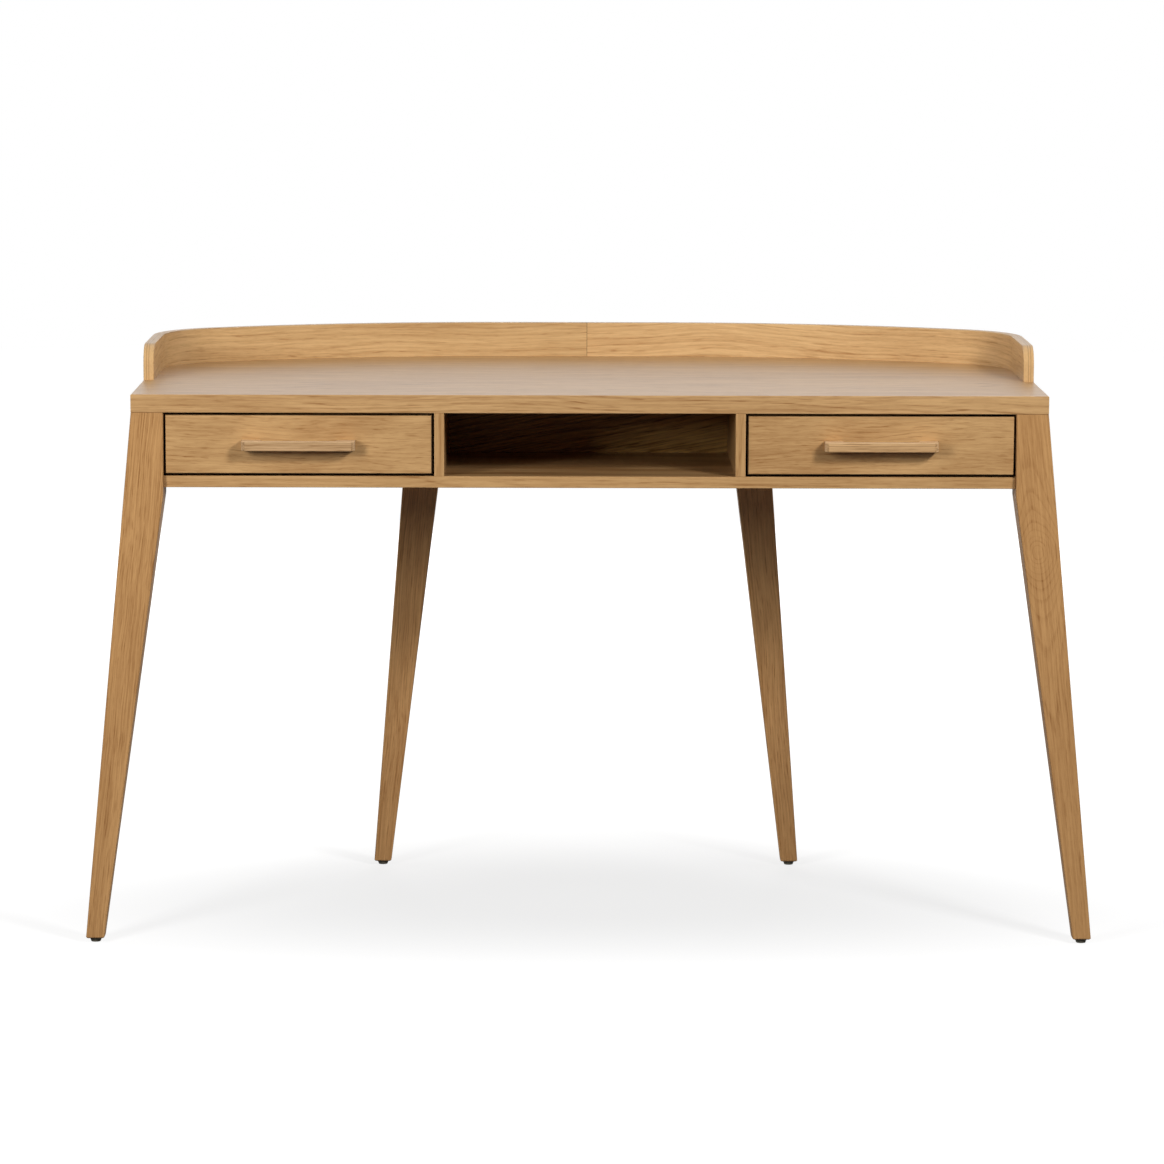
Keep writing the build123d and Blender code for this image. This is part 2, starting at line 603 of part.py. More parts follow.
def drawer_fixings(drawer, centre):
    """Dowels of the drawer corners, and the handle with its two screws."""
    label = drawer + "_drawer_"
    size = (SMALL_DOWEL_DIAMETER, SMALL_DOWEL_LENGTH)
    pins = []
    for side, sign in SIDES.items():
        wall = label + side + "_side"
        for z in (BOX_BASE + BOX_DOWEL_RISE, BOX_TOP - BOX_DOWEL_DROP):
            start = (centre + sign * (BOX_HALF - BOX_WALL / 2), FRONT_THICKNESS - FRONT_DOWEL_SEAT, z)
            pins.append(dowel(start, (0, 1, 0), *size, label + "front", wall))
            start = (centre + sign * (BOX_HALF - BOX_DOWEL_SEAT), BOX_BACK - BOX_WALL / 2, z)
            pins.append(dowel(start, (-sign, 0, 0), *size, label + "back", wall))
    parts[label + "dowels"] = Compound(pins)
    middle = (FRONT_BASE + FRONT_TOP) / 2
    parts[label + "handle"] = handle(centre, middle)
    screws = []
    for sign in SIDES.values():
        x = centre + sign * (HANDLE_LENGTH - HANDLE_FOOT) / 2
        start = (x, FRONT_THICKNESS, middle)
        for node in (label + "front", label + "handle"):
            drill(node, start, (0, -1, 0), SCREW_DIAMETER, SCREW_LENGTH)
        screws.append(wood_screw(start, (0, -1, 0), SCREW_LENGTH))
    parts[label + "handle_screws"] = Compound(screws)


top_and_gallery()
case_panels()
legs_and_glides()
gallery_fixings()
cleat_fixings()
case_dowels()
rear_leg_fixings()
front_leg_fixings()
cabinet_rail_screws = []
for drawer, sign in SIDES.items():
    drawer_box(drawer, sign * BAY_CENTRE)
    drawer_fixings(drawer, sign * BAY_CENTRE)
    cabinet_rail_screws += runners(drawer, sign * BAY_CENTRE)
parts["cabinet_rail_screws"] = Compound(cabinet_rail_screws)

os.makedirs("parts", exist_ok=True)
for node, shape in parts.items():
    export_step(Pos(0, -ORIGIN_Y, 0) * shape, "parts/" + node + ".step")
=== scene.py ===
import math

import bpy
from mathutils import Matrix, Vector


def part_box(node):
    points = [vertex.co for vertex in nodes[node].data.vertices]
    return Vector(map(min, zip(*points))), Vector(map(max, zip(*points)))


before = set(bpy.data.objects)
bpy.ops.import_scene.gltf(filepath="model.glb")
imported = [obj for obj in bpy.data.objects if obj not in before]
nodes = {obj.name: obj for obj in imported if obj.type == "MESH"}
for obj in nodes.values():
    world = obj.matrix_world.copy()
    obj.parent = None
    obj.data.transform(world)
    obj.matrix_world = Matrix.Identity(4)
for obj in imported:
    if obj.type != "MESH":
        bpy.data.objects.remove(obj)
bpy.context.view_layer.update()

X = Vector((1, 0, 0))
Y = Vector((0, 1, 0))
Z = Vector((0, 0, 1))


def middle(low, high):
    """Centre of the box between two corners."""
    return (low + high) / 2


def half_board(low, high):
    """Half the length, height and thickness of an upright board that runs along x."""
    return (high.x - low.x) / 2, (high.z - low.z) / 2, (high.y - low.y) / 2


# Plan of the desktop and its gallery rail, in metres.
desk_low, desk_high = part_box("desktop")
FRONT = desk_low.y
BACK = desk_high.y
HALF = desk_high.x
UNDERSIDE = desk_low.z
CORNER_RADIUS = 0.138
SHOULDER_RADIUS = 0.940
SHOULDER_X = 0.120
CORNER_X = HALF - CORNER_RADIUS
SHOULDER_Y = BACK - SHOULDER_RADIUS
SHOULDER_TURN = math.asin((CORNER_X - SHOULDER_X) / (SHOULDER_RADIUS - CORNER_RADIUS))
SIDE_END = SHOULDER_Y + (SHOULDER_RADIUS - CORNER_RADIUS) * math.cos(SHOULDER_TURN)

# Depths in the gallery rail from its outer side, in metres: where the face veneers end, and the glue lines.
OUTER_VENEER = (0.0006, 0.0012)
INNER_VENEER = (0.0138, 0.0144)
GLUE_LINES = (0.0045, 0.0078)

# Low arch in the grain of the gallery's right half, in metres.
ARCH_X = 0.19
ARCH_HALF = 0.12
ARCH_HEIGHT = 0.016

# Middle of the boards that close the cubby below and behind, and its mouth, where the painted shade within it
# starts, in metres.
CASE_FLOOR = middle(*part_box("bottom_panel")).z
CASE_BACK = middle(*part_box("back_panel_centre")).y
CASE_MOUTH = (FRONT + 0.002, FRONT + 0.02)

# Where the grain of each board is laid out from, in metres.
BOTTOM_PANEL_Z = 0.64
CENTRE_BACK_Y = 0.04
PANEL_Z = 0.69
BAY_X = 0.4045
SIDE_PANEL_X = 0.6
DIVIDER_X = 0.2095
DIVIDER_Z = 0.6
FRONT_FOOT = (0.689, -0.3245)
REAR_FOOT = (0.3072, 0.2186)
HALF_LEG_TOP = 0.0225
# Offset of the painted gap shade on each drawer front, in metres.
GAP_SHADE_SHIFT = (0.0004, 0.0005)

# One ply of the drawer boards: thickness of the board over its number of plies.
WALL_PLY = 0.012 / 9
BOTTOM_PLY = 0.006 / 5

# Where the photographer stood, in metres, degrees and millimetres of lens.
CAMERA_PLACE = (-0.0547, FRONT - 6.375, 1.4028)
CAMERA_DOWN = 8.055
CAMERA_RIGHT = 0.397
CAMERA_LEAN = 0.168
CAMERA_LENS = 142.74
SENSOR_WIDTH = 36
FAR_LIMIT = 200

# Pale and deep tone of each kind of oak, 0 to 255 a channel.
OAK_TONES = ((202, 161, 110), (150, 106, 62))
DESKTOP_TONES = ((206, 165, 114), (154, 110, 66))
CENTRE_BACK_TONES = ((226, 180, 104), (134, 90, 38))
FRONT_LEG_TONES = ((196, 150, 98), (143, 98, 55))
REAR_LEG_TONES = ((216, 166, 110), (164, 113, 65))
# The gallery is paler than the other oak, and its right half paler than its left: painted light from above,
# and a painted sheen on the right half.
GALLERY_LIT_TONES = {"left": ((218, 180, 128), (171, 127, 80)), "right": ((231, 192, 138), (181, 136, 88))}
HANDLE_TONES = {"left": ((200, 164, 122), (150, 112, 72)), "right": ((213, 173, 125), (150, 112, 72))}
# Painted shade laid over the oak within the cubby.
PAINTED_CASE_SHADE = (64, 42, 20)
# Painted shade for the gaps round the drawer fronts.
PAINTED_GAP_SHADE = (40, 26, 15)
# Pale of a handle's top and ends, partly wear and partly painted highlight, and its share.
WEAR_AND_HIGHLIGHT_PALE = (246, 216, 176)
WEAR_AND_HIGHLIGHT_SHARE = 0.5
PLY_PALE = (226, 188, 136)
PLY_DEEP = (198, 156, 104)
GLUE_DARK = (136, 90, 50)
SEAM_DARK = (70, 45, 24)
LACQUER_ROUGHNESS = 0.4

# Step of a seed across the board, for each step along it.
SEED_ACROSS = 0.37

# Usual cut of an oak board: how the heart of the log leans against it, the width of a year in metres, how far
# the rings wander, and the weight of each part of the figure.
OAK_CUT = dict(
    tilt=0.0, rounding=0.0, limit=1000.0, ring=0.005, wander=0.012, slant=0.0, figure=0.3, fibre=1.0,
    short=1.0, band=0.5, patch=0.5, sheen=0.32,
)


def tone(red, green, blue):
    """Colour given as 0 to 255 a channel, as the linear colour that the nodes take."""
    levels = [level / 255 for level in (red, green, blue)]
    linear = [level / 12.92 if level <= 0.04045 else ((level + 0.055) / 1.055) ** 2.4 for level in levels]
    return (*linear, 1)


def put(tree, socket, value):
    """An input linked to another node, or set to a constant."""
    if isinstance(value, bpy.types.NodeSocket):
        tree.links.new(value, socket)
    else:
        socket.default_value = value


def add(tree, kind, feeds=None, **settings):
    """New node with its settings, and its inputs linked or set."""
    made = tree.nodes.new(kind)
    for name, value in settings.items():
        setattr(made, name, value)
    for name, value in (feeds or {}).items():
        put(tree, made.inputs[name], value)
    return made


def sums(tree, operation, *values):
    """One step of arithmetic on single numbers."""
    return add(tree, "ShaderNodeMath", dict(enumerate(values)), operation=operation).outputs[0]


def points(tree, operation, *values):
    """One step of arithmetic on points."""
    made = add(tree, "ShaderNodeVectorMath", dict(enumerate(values)), operation=operation)
    return made.outputs["Value"] if operation in ("DOT_PRODUCT", "LENGTH") else made.outputs["Vector"]


def parted(tree, point):
    """The three parts of a point."""
    return add(tree, "ShaderNodeSeparateXYZ", {0: point}).outputs


def joined(tree, x, y, z):
    """A point from its three parts."""
    return add(tree, "ShaderNodeCombineXYZ", {0: x, 1: y, 2: z}).outputs[0]


def speckle(tree, point, stretch, detail=2.0):
    """Soft noise from 0 to 1, stretched by a number of waves a metre along each way."""
    spread = points(tree, "MULTIPLY", point, stretch)
    return add(tree, "ShaderNodeTexNoise", {"Vector": spread, "Scale": 1.0, "Detail": detail}).outputs


def ramp(tree, value, start, end, low=0.0, high=1.0):
    """Smooth step from low at the start to high at the end."""
    feeds = {0: value, 1: start, 2: end, 3: low, 4: high}
    return add(tree, "ShaderNodeMapRange", feeds, interpolation_type="SMOOTHSTEP").outputs[0]


def mingle(tree, share, first, second):
    """Second colour laid over the first by a share."""
    made = add(tree, "ShaderNodeMix", {0: share, 6: first, 7: second}, data_type="RGBA", blend_type="MIX")
    return made.outputs[2]


def choose(tree, second_wins, first, second):
    """First number, or the second where the switch is 1."""
    return add(tree, "ShaderNodeMix", {0: second_wins, 2: first, 3: second}, data_type="FLOAT").outputs[0]


def effect(name, **takes):
    """Shader node group that takes named inputs and gives a colour, a roughness and a height."""
    tree = bpy.data.node_groups.new(name, "ShaderNodeTree")
    kinds = {"point": "NodeSocketVector", "number": "NodeSocketFloat", "colour": "NodeSocketColor"}
    for label, kind in takes.items():
        tree.interface.new_socket(label.capitalize(), in_out="INPUT", socket_type=kinds[kind])
    for label, kind in (("Colour", "colour"), ("Roughness", "number"), ("Height", "number")):
        tree.interface.new_socket(label, in_out="OUTPUT", socket_type=kinds[kind])
    return tree, tree.nodes.new("NodeGroupInput").outputs, tree.nodes.new("NodeGroupOutput").inputs


def place(tree, shared, **feeds):
    """A shared effect placed in a material with its own values."""
    made = add(tree, "ShaderNodeGroup", node_tree=shared)
    for label, value in feeds.items():
        put(tree, made.inputs[label.capitalize()], value)
    return made.outputs


def blank(name, along=X, across=Y, origin=(0, 0, 0)):
    """New material, its shader, and a point on the board: along its grain, across its face and into it."""
    material = bpy.data.materials.new(name)
    material.use_nodes = True
    tree = material.node_tree
    point = tree.nodes.new("ShaderNodeTexCoord").outputs["Object"]
    turn = Matrix((along, across, along.cross(across))).transposed().to_euler()
    feeds = {"Vector": point, "Location": origin, "Rotation": turn}
    board = add(tree, "ShaderNodeMapping", feeds, vector_type="TEXTURE").outputs[0]
    return material, tree, tree.nodes["Principled BSDF"], board


def dress(tree, shader, colour, roughness, height, strength=0.3, reach=0.0002):
    """Colour, roughness and fine relief put on a shader."""
    put(tree, shader.inputs["Base Color"], colour)
    put(tree, shader.inputs["Roughness"], roughness)
    bump = add(tree, "ShaderNodeBump", {"Strength": strength, "Distance": reach, "Height": height})
    put(tree, shader.inputs["Normal"], bump.outputs["Normal"])


def oak_grain():
    """Lacquered oak: growth rings sawn through, fine fibres along the board, and short open pores."""
    takes = dict(board="point", seed="point", heart="point", pale="colour", deep="colour")
    takes |= {name: "number" for name in OAK_CUT}
    tree, given, result = effect("oak grain", **takes)
    seeded = points(tree, "ADD", given["Board"], given["Seed"])
    sway = points(tree, "SUBTRACT", speckle(tree, seeded, (4.0, 10, 10))["Color"], (0.5, 0.5, 0.5))
    sway = add(tree, "ShaderNodeVectorMath", {0: sway, "Scale": given["Wander"]}, operation="SCALE")
    moved = points(tree, "ADD", points(tree, "ADD", given["Board"], given["Heart"]), sway.outputs["Vector"])
    length, across, depth = parted(tree, moved)
    reach = points(tree, "LENGTH", joined(tree, length, given["Rounding"], 0.0))
    eased = sums(tree, "ADD", sums(tree, "DIVIDE", reach, given["Limit"]), 1.0)
    depth = sums(tree, "MULTIPLY_ADD", sums(tree, "DIVIDE", reach, eased), given["Tilt"], depth)
    radius = points(tree, "LENGTH", joined(tree, across, depth, 0.0))

    # Growth rings, with some years darker than others.
    wobble = sums(tree, "MULTIPLY", speckle(tree, seeded, (14, 60, 60))["Fac"], 0.6)
    turns = sums(tree, "ADD", sums(tree, "DIVIDE", radius, given["Ring"]), wobble)
    ring = sums(tree, "FRACT", turns)
    year = add(tree, "ShaderNodeTexWhiteNoise", {"W": sums(tree, "FLOOR", turns)}, noise_dimensions="1D")
    line = sums(tree, "MAXIMUM", ramp(tree, ring, 0.02, 0.35, 1.0, 0.0), ramp(tree, ring, 0.88, 1.0))
    early = sums(tree, "MULTIPLY", line, sums(tree, "MULTIPLY_ADD", year.outputs["Value"], 0.75, 0.25))

    # Fibres and dashes along the grain, pores, bands that follow the rings, and broad patches.
    fibre = points(tree, "ADD", moved, given["Seed"])
    fibre = points(tree, "MULTIPLY", fibre, joined(tree, given["Short"], 1.0, 1.0))
    streak = sums(tree, "SUBTRACT", speckle(tree, fibre, (6, 340, 340))["Fac"], 0.5)
    dash = speckle(tree, fibre, (28, 540, 540), 1.0)["Fac"]
    dash = sums(tree, "MULTIPLY", ramp(tree, dash, 0.53, 0.68), ramp(tree, early, 0.0, 0.8, 0.5, 1.0))
    pore = ramp(tree, speckle(tree, seeded, (90, 1900, 1900), 0.0)["Fac"], 0.56, 0.70)
    flow = points(tree, "ADD", joined(tree, length, radius, 0.0), given["Seed"])
    band = sums(tree, "SUBTRACT", speckle(tree, flow, (2.5, 45, 1), 1.0)["Fac"], 0.5)
    leaning = sums(tree, "SUBTRACT", across, sums(tree, "MULTIPLY", length, given["Slant"]))
    leaning = points(tree, "ADD", joined(tree, length, leaning, depth), given["Seed"])
    broad = sums(tree, "SUBTRACT", speckle(tree, leaning, (3.0, 14, 14))["Fac"], 0.5)

    # Share of the deep tone, then gloss and relief.
    fine = sums(tree, "MULTIPLY_ADD", dash, 0.5, sums(tree, "MULTIPLY", streak, 1.3))
    share = sums(tree, "MULTIPLY_ADD", early, given["Figure"], 0.24)
    share = sums(tree, "MULTIPLY_ADD", fine, given["Fibre"], share)
    share = sums(tree, "MULTIPLY_ADD", band, given["Band"], share)
    share = sums(tree, "MULTIPLY_ADD", broad, given["Patch"], share)
    share = sums(tree, "MULTIPLY_ADD", pore, 0.16, share)
    share = sums(tree, "MINIMUM", sums(tree, "MAXIMUM", share, 0.0), 1.0)
    put(tree, result["Colour"], mingle(tree, share, given["Pale"], given["Deep"]))
    sheen = sums(tree, "MULTIPLY_ADD", streak, 0.14, given["Sheen"])
    put(tree, result["Roughness"], sums(tree, "MULTIPLY_ADD", dash, 0.12, sheen))
    open_grain = sums(tree, "MULTIPLY_ADD", dash, -0.5, sums(tree, "MULTIPLY", pore, -0.35))
    put(tree, result["Height"], sums(tree, "MULTIPLY_ADD", early, -0.15, open_grain))
    return tree


def beech_fleck():
    """Sanded beech: an even pinkish tan with short dark flecks."""
    tree, given, result = effect("beech fleck", board="point")
    streak = speckle(tree, given["Board"], (6, 150, 150))["Fac"]
    fleck = ramp(tree, speckle(tree, given["Board"], (190, 1100, 1100), 0.0)["Fac"], 0.60, 0.72)
    wood = mingle(tree, streak, tone(214, 178, 138), tone(186, 146, 106))
    put(tree, result["Colour"], mingle(tree, sums(tree, "MULTIPLY", fleck, 0.6), wood, tone(138, 96, 62)))
    put(tree, result["Roughness"], sums(tree, "MULTIPLY_ADD", fleck, 0.15, 0.52))
    put(tree, result["Height"], sums(tree, "MULTIPLY_ADD", fleck, -0.6, streak))
    return tree


def birch_plies():
    """Birch plywood: pale streaked faces, and edges that show its plies."""
    tree, given, result = effect("birch plies", board="point", ply="number")
    board = given["Board"]
    depth = parted(tree, board)["Z"]
    streak = speckle(tree, board, (4, 90, 900), 3.0)["Fac"]
    pore = ramp(tree, speckle(tree, board, (110, 1500, 1500), 0.0)["Fac"], 0.6, 0.74)
    ply = sums(tree, "FRACT", sums(tree, "DIVIDE", depth, sums(tree, "MULTIPLY", given["Ply"], 2.0)))
    cross = sums(tree, "MULTIPLY", ramp(tree, ply, 0.48, 0.52), ramp(tree, ply, 0.96, 1.0, 1.0, 0.0))
    wood = mingle(tree, streak, tone(232, 207, 166), tone(206, 172, 126))
    wood = mingle(tree, sums(tree, "MULTIPLY", cross, 0.75), wood, tone(160, 116, 72))
    put(tree, result["Colour"], mingle(tree, sums(tree, "MULTIPLY", pore, 0.45), wood, tone(168, 128, 88)))
    put(tree, result["Roughness"], sums(tree, "MULTIPLY_ADD", streak, 0.12, 0.42))
    put(tree, result["Height"], sums(tree, "MULTIPLY_ADD", cross, -0.6, sums(tree, "MULTIPLY", pore, -0.5)))
    return tree


def worked_metal():
    """Plated or cast metal: drawn streaks, a fine tooth and faint duller patches."""
    takes = dict(board="point", bright="colour", dull="colour", smooth="number")
    tree, given, result = effect("worked metal", **takes)
    drawn = speckle(tree, given["Board"], (30, 1400, 1400))["Fac"]
    patch = speckle(tree, given["Board"], (60, 60, 60), 3.0)["Fac"]
    tooth = speckle(tree, given["Board"], (2600, 2600, 2600), 1.0)["Fac"]
    put(tree, result["Colour"], mingle(tree, ramp(tree, patch, 0.35, 0.7), given["Bright"], given["Dull"]))
    rough = sums(tree, "MULTIPLY_ADD", drawn, 0.14, given["Smooth"])
    put(tree, result["Roughness"], sums(tree, "MULTIPLY_ADD", patch, 0.16, rough))
    put(tree, result["Height"], sums(tree, "MULTIPLY_ADD", drawn, 0.6, sums(tree, "MULTIPLY", tooth, 0.4)))
    return tree


OAK = oak_grain()
BEECH = beech_fleck()
BIRCH = birch_plies()
METAL = worked_metal()


def oak_cut(tree, board, seed, heart, tones, **cut):
    """Grain of one board: where it was cut from the log, and its pale and deep tone."""
    pale, deep = (tone(*levels) for levels in tones)
    return place(tree, OAK, board=board, seed=seed, heart=heart, pale=pale, deep=deep, **(OAK_CUT | cut))


def inside_case(tree):
    """Mask of the cubby's faces for its painted shade and streaks: 0 outside and at its mouth, 1 further in.
    """
    spot = parted(tree, tree.nodes.new("ShaderNodeTexCoord").outputs["Object"])
    above_floor = sums(tree, "GREATER_THAN", spot["Z"], CASE_FLOOR)
    within = sums(tree, "MULTIPLY", above_floor, sums(tree, "LESS_THAN", spot["Y"], CASE_BACK))
    return sums(tree, "MULTIPLY", within, ramp(tree, spot["Y"], *CASE_MOUTH))


def room_left(tree, board, half, shift=(0, 0, 0)):
    """Distance from a point of a board to the sides of the box round it, along each way."""
    from_middle = points(tree, "ABSOLUTE", points(tree, "SUBTRACT", board, shift))
    return parted(tree, points(tree, "SUBTRACT", half, from_middle))


def gap_shade_rim(tree, board, half, shift):
    """Mask of painted shade on the edges of a drawer front, standing for the dark gaps round it, strongest on
    the first millimetre behind its faces.
    """
    room = room_left(tree, board, half, shift)
    at_edge = ramp(tree, sums(tree, "MINIMUM", room["X"], room["Y"]), 0.0003, 0.0013, 1.0, 0.0)
    return sums(tree, "MULTIPLY", at_edge, ramp(tree, room["Z"], 0.0006, 0.0014, 0.9, 0.35))


def wear_and_highlight_mask(tree, board, half):
    """Mask of the top and the ends of a handle: pale partly from wear and partly as a painted highlight where
    light from above catches it.
    """
    below_top = sums(tree, "SUBTRACT", half[1], parted(tree, board)["Y"])
    at_top = ramp(tree, below_top, 0.0003, 0.0014, 1.0, 0.0)
    at_end = ramp(tree, room_left(tree, board, half)["X"], 0.0006, 0.0032, 0.4, 0.0)
    patchy = ramp(tree, speckle(tree, board, (40, 160, 160))["Fac"], 0.3, 0.6, 0.7, 1.0)
    return sums(tree, "MULTIPLY", sums(tree, "MAXIMUM", at_top, at_end), patchy)


def oak(name, along, across, origin, seed, heart, tones=OAK_TONES, coat=0.0, inside=0.0, streaks=0.0,
        rim=None, rubbed=None, **cut):
    """Oak board under satin lacquer, with its own cut of the log.

    Within the case it takes painted shade, darker away from the mouth, and can be more streaked. A drawer
    front has painted shade on its edges for the gaps round it, and a handle's top and ends are pale, partly
    from wear and partly as a painted highlight.
    """
    material, tree, shader, board = blank(name, along, across, origin)
    within = inside_case(tree) if inside else None
    if streaks:
        cut["band"] = sums(tree, "MULTIPLY_ADD", within, streaks, OAK_CUT["band"])
    grain = oak_cut(tree, board, (seed, SEED_ACROSS * seed, 0), heart, tones, **cut)
    colour = grain["Colour"]
    # Painted shade within the case, growing away from the mouth.
    if inside:
        colour = mingle(tree, sums(tree, "MULTIPLY", within, inside), colour, tone(*PAINTED_CASE_SHADE))
    # Painted shade on the edges of the drawer front, so the gaps round it read dark.
    if rim:
        colour = mingle(tree, gap_shade_rim(tree, board, *rim), colour, tone(*PAINTED_GAP_SHADE))
    # Pale top and ends of a handle: partly wear, partly painted highlight.
    if rubbed:
        worn = sums(tree, "MULTIPLY", wear_and_highlight_mask(tree, board, rubbed), WEAR_AND_HIGHLIGHT_SHARE)
        colour = mingle(tree, worn, colour, tone(*WEAR_AND_HIGHLIGHT_PALE))
    dress(tree, shader, colour, grain["Roughness"], grain["Height"])
    put(tree, shader.inputs["Coat Weight"], coat)
    put(tree, shader.inputs["Coat Roughness"], LACQUER_ROUGHNESS)
    return material


def rail_place(tree, point, start):
    """Point on the bent gallery rail: along its curve, up its face and in from its outer side."""
    x, y, z = parted(tree, point)
    arch = sums(tree, "DIVIDE", sums(tree, "SUBTRACT", x, ARCH_X), ARCH_HALF)
    arch = sums(tree, "DIVIDE", ARCH_HEIGHT, sums(tree, "MULTIPLY_ADD", arch, arch, 1.0))
    up = sums(tree, "SUBTRACT", z, arch)
    x = sums(tree, "ABSOLUTE", x)
    along = sums(tree, "ADD", start, sums(tree, "SUBTRACT", x, y))
    spot = joined(tree, x, y, 0.0)
    flat = sums(tree, "SUBTRACT", BACK, y)
    side = sums(tree, "SUBTRACT", HALF, x)
    from_corner = points(tree, "SUBTRACT", spot, (CORNER_X, SIDE_END, 0))
    corner = sums(tree, "SUBTRACT", CORNER_RADIUS, points(tree, "LENGTH", from_corner))
    from_shoulder = points(tree, "SUBTRACT", spot, (SHOULDER_X, SHOULDER_Y, 0))
    shoulder = sums(tree, "SUBTRACT", SHOULDER_RADIUS, points(tree, "LENGTH", from_shoulder))
    split = (math.cos(SHOULDER_TURN), -math.sin(SHOULDER_TURN), 0)
    in_corner = sums(tree, "GREATER_THAN", points(tree, "DOT_PRODUCT", from_corner, split), 0.0)
    depth = choose(tree, in_corner, shoulder, corner)
    depth = choose(tree, sums(tree, "LESS_THAN", y, SIDE_END), depth, side)
    depth = choose(tree, sums(tree, "LESS_THAN", x, SHOULDER_X), depth, flat)
    return joined(tree, along, up, depth), depth


def gallery_oak(side, start):
    """Bent plywood faced with oak: glue lines show on its ends, and a fine seam where the halves meet."""
    material, tree, shader, point = blank("gallery oak " + side)
    board, depth = rail_place(tree, point, start)
    grain = oak_cut(tree, board, tones=GALLERY_LIT_TONES[side], **GALLERY_FIGURE)
    plies = mingle(tree, speckle(tree, board, (9, 300, 700))["Fac"], tone(*PLY_PALE), tone(*PLY_DEEP))
    cut = sums(tree, "MULTIPLY", ramp(tree, depth, *OUTER_VENEER), ramp(tree, depth, *INNER_VENEER, 1.0, 0.0))
    colour = mingle(tree, cut, grain["Colour"], plies)
    for line in GLUE_LINES:
        away = sums(tree, "ABSOLUTE", sums(tree, "SUBTRACT", depth, line))
        colour = mingle(tree, ramp(tree, away, 0.0002, 0.0009, 0.5, 0.0), colour, tone(*GLUE_DARK))
    from_seam = sums(tree, "ABSOLUTE", parted(tree, point)["X"])
    colour = mingle(tree, ramp(tree, from_seam, 0.0002, 0.0006, 0.7, 0.0), colour, tone(*SEAM_DARK))
    dress(tree, shader, colour, grain["Roughness"], grain["Height"])
    return material


def sanded(name, shared, along, across, origin, **values):
    """Plain sanded board for the parts that are out of sight."""
    material, tree, shader, board = blank(name, along, across, origin)
    grain = place(tree, shared, board=board, **values)
    dress(tree, shader, grain["Colour"], grain["Roughness"], grain["Height"], strength=0.25)
    return material


def metal(name, bright, dull, smooth, along=Y, across=Z):
    """Bare metal drawn along one way."""
    material, tree, shader, board = blank(name, along, across)
    worked = place(tree, METAL, board=board, bright=tone(*bright), dull=tone(*dull), smooth=smooth)
    dress(tree, shader, worked["Colour"], worked["Roughness"], worked["Height"], 0.2, 0.0001)
    put(tree, shader.inputs["Metallic"], 1.0)
    return material


def glide_plastic():
    """Grey moulded plastic with a fine spark-eroded tooth and scuffs near the floor."""
    material, tree, shader, point = blank("glide plastic")
    tooth = speckle(tree, point, (1800, 1800, 1800))["Fac"]
    scuff = speckle(tree, point, (140, 140, 500), 3.0)["Fac"]
    low = ramp(tree, parted(tree, point)["Z"], 0.0, 0.003, 1.0, 0.2)
    worn = sums(tree, "MULTIPLY", ramp(tree, scuff, 0.45, 0.7), low)
    colour = mingle(tree, worn, tone(104, 99, 86), tone(140, 135, 120))
    dress(tree, shader, colour, sums(tree, "MULTIPLY_ADD", tooth, 0.2, 0.42), tooth, reach=0.0001)
    return material


def leg_grain(leg, foot):
    """Grain directions of a splayed leg, from its foot up to its top."""
    low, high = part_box(leg)
    top_x = (low.x if foot.x > 0 else high.x) + math.copysign(HALF_LEG_TOP, foot.x)
    top_y = (high.y - HALF_LEG_TOP) if foot.y < 0 else (low.y + HALF_LEG_TOP)
    along = (Vector((top_x, top_y, high.z)) - foot).normalized()
    return along, Y.cross(along).normalized()


def show(material, *names):
    """A material put on every slot of the named nodes."""
    for name in names:
        for slot in nodes[name].material_slots:
            slot.material = material


# The cut of each board: its seed, where the heart of the log lies, and what differs from the usual cut.
GALLERY_FIGURE = dict(
    seed=(1.3, 0.4, 0), heart=(0.9, -0.70, 0.02), tilt=0.012, ring=0.0085, wander=0.014, figure=0.28,
    fibre=0.85,
)
GALLERY_START = {"left": 3.3, "right": 0.0}
DESKTOP_FIGURE = dict(
    seed=2.1, heart=(1.0, 0.12, 0.05), tilt=0.03, wander=0.016, sheen=0.40, coat=0.65, tones=DESKTOP_TONES)
# The bottom panel, the centre back panel and the dividers take a share of painted shade within the cubby.
BOTTOM_FIGURE = dict(seed=5.2, heart=(1.0, 0.10, 0.03), tilt=0.04, fibre=0.85, inside=0.34, streaks=3.0)
CENTRE_BACK_SLANT = 0.2
CENTRE_BACK_FIGURE = dict(
    seed=6.4, heart=(1.2, 0.07, 0.02), tilt=0.04, slant=CENTRE_BACK_SLANT, figure=0.7, ring=0.008, fibre=1.5,
    tones=CENTRE_BACK_TONES, inside=0.25,
)
LEG_FIGURE = {
    "front_leg_left": dict(
        seed=0.4, heart=(0.3, 0.05, 0.012), tilt=0.01, ring=0.0032, tones=FRONT_LEG_TONES),
    "front_leg_right": dict(
        seed=1.7, heart=(-0.550, 0.010, -0.0007), tilt=3.0, rounding=0.012, limit=0.025, ring=0.0046,
        wander=0.008, figure=0.2, fibre=0.8, tones=FRONT_LEG_TONES,
    ),
    "rear_leg_left": dict(
        seed=2.8, heart=(0.3, 0.04, 0.015), tilt=0.02, ring=0.0035, tones=REAR_LEG_TONES),
    "rear_leg_right": dict(
        seed=3.9, heart=(0.2, -0.03, 0.02), tilt=0.04, ring=0.0035, tones=REAR_LEG_TONES),
}
DIVIDER_SEED = 4.1
DIVIDER_FIGURE = dict(heart=(0.3, 0.03, 0.02), ring=0.003, wander=0.004, fibre=0.7, inside=0.38)
SIDE_PANEL_SEED = 6.0
SIDE_PANEL_FIGURE = dict(heart=(1.0, 0.06, 0.02), tilt=0.05)
